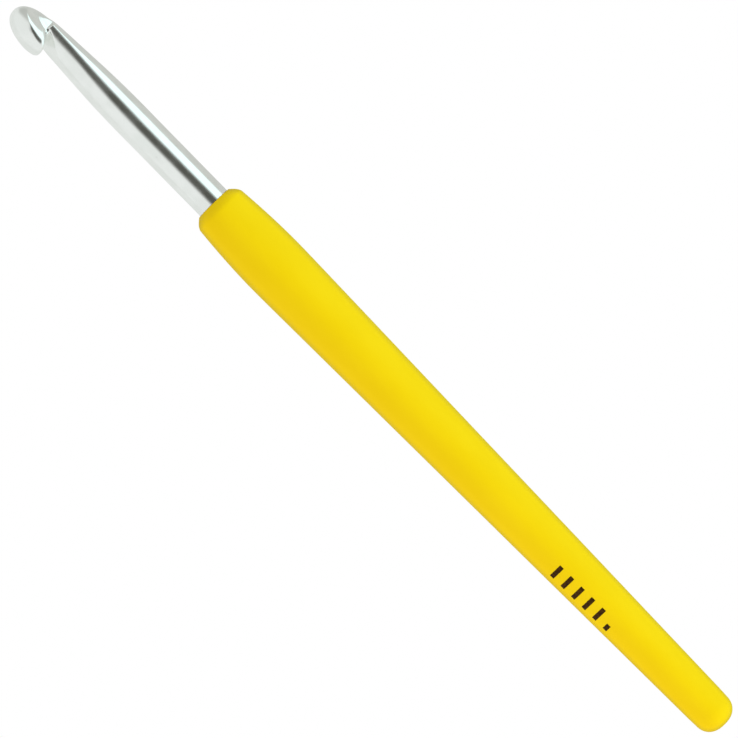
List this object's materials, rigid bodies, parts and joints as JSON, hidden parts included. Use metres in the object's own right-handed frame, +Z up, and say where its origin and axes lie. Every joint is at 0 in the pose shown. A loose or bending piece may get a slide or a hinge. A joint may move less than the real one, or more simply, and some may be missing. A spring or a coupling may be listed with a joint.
{
  "type": "crochet hook",
  "caption": "Crochet hook: round metal shank with an oval neck, undercut mouth and hollow-cheeked bullet head, in a tapered moulded grip with an inked size tally.",
  "frame": {"origin": "on the shaft's axis, in the plane where the shaft's shoulder meets the grip's front face", "axes": "+X along the hook from the tip towards the tail, +Z up; the mouth opens towards -Y, rolled 35 degrees up from level"},
  "size_m": [0.145, 0.0094, 0.0094],
  "materials": {
    "shank_aluminium": "polished, with fine drawing lines along the shaft",
    "grip_plastic": "smooth, soft-touch matte",
    "mark_ink": "thin pad-printed ink"
  },
  "bodies": {
    "root": {"hook_shank": "shank_aluminium", "grip": "grip_plastic", "size_mark": "mark_ink"}
  },
  "joints": []
}
